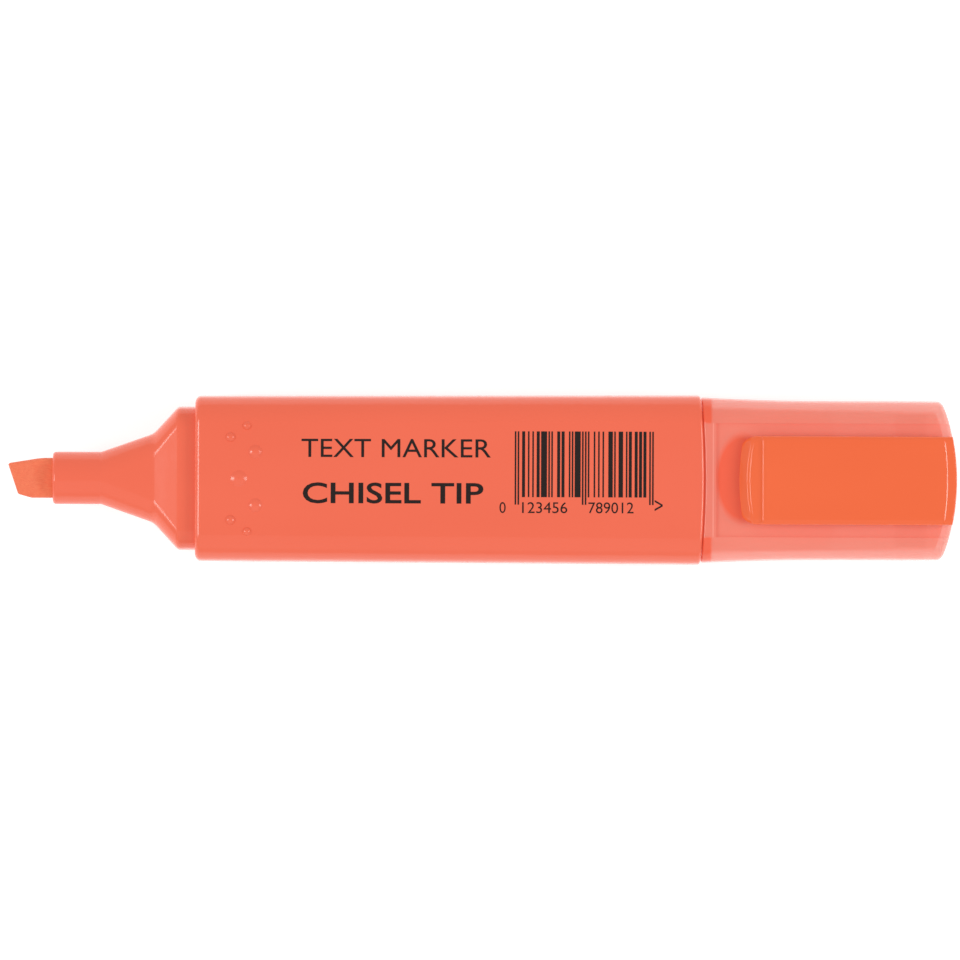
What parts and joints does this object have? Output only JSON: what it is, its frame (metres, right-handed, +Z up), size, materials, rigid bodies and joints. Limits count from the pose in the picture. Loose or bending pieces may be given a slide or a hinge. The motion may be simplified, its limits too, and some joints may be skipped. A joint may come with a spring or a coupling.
{
  "type": "highlighter pen",
  "caption": "Flat-bodied highlighter marker with a slanted chisel nib, its translucent cap with a springy clip posted on the tail.",
  "frame": {"origin": "under the middle of the overall length, on the flat broad face that the pen lies on, with the cap posted on the tail", "axes": "+X along the pen from the nib to the cap's end, +Y across its width, +Z up out of the broad face that carries the clip"},
  "size_m": [0.142, 0.0254, 0.0173],
  "materials": {
    "barrel_plastic": "semi-gloss fluorescent orange, opaque, moulded",
    "nose_plastic": "semi-gloss fluorescent orange, opaque, moulded",
    "nib_fibre": "pressed fibre soaked with fluorescent orange ink",
    "reservoir_fibre": "bundled polyester fibre soaked with ink",
    "reservoir_film": "thin clear film",
    "plug_plastic": "semi-gloss fluorescent orange, opaque, moulded",
    "cap_plastic": "translucent fluorescent orange, glossy, moulded",
    "seal_plastic": "soft translucent plastic",
    "clip_plastic": "gloss fluorescent orange, opaque, moulded"
  },
  "bodies": {
    "pen": {"barrel": "barrel_plastic", "nose_section": "nose_plastic", "nib": "nib_fibre", "reservoir_core": "reservoir_fibre", "reservoir_sleeve": "reservoir_film", "tail_plug": "plug_plastic"},
    "cap": {"cap_shell": "cap_plastic", "nib_seal": "seal_plastic", "clip_root": "clip_plastic"},
    "clip": {"clip_arm": "clip_plastic"}
  },
  "joints": [
    {"name": "cap_slide", "type": "slide", "parent": "pen", "child": "cap", "axis": [1, 0, 0], "range_m": [0, 0.03]},
    {"name": "clip_flex", "type": "hinge", "parent": "cap", "child": "clip", "pos_m": [0.064, 0, 0.0173], "axis": [0, 1, 0], "range_deg": [0, 7], "stiffness_Nm_per_rad": 0.9}
  ]
}
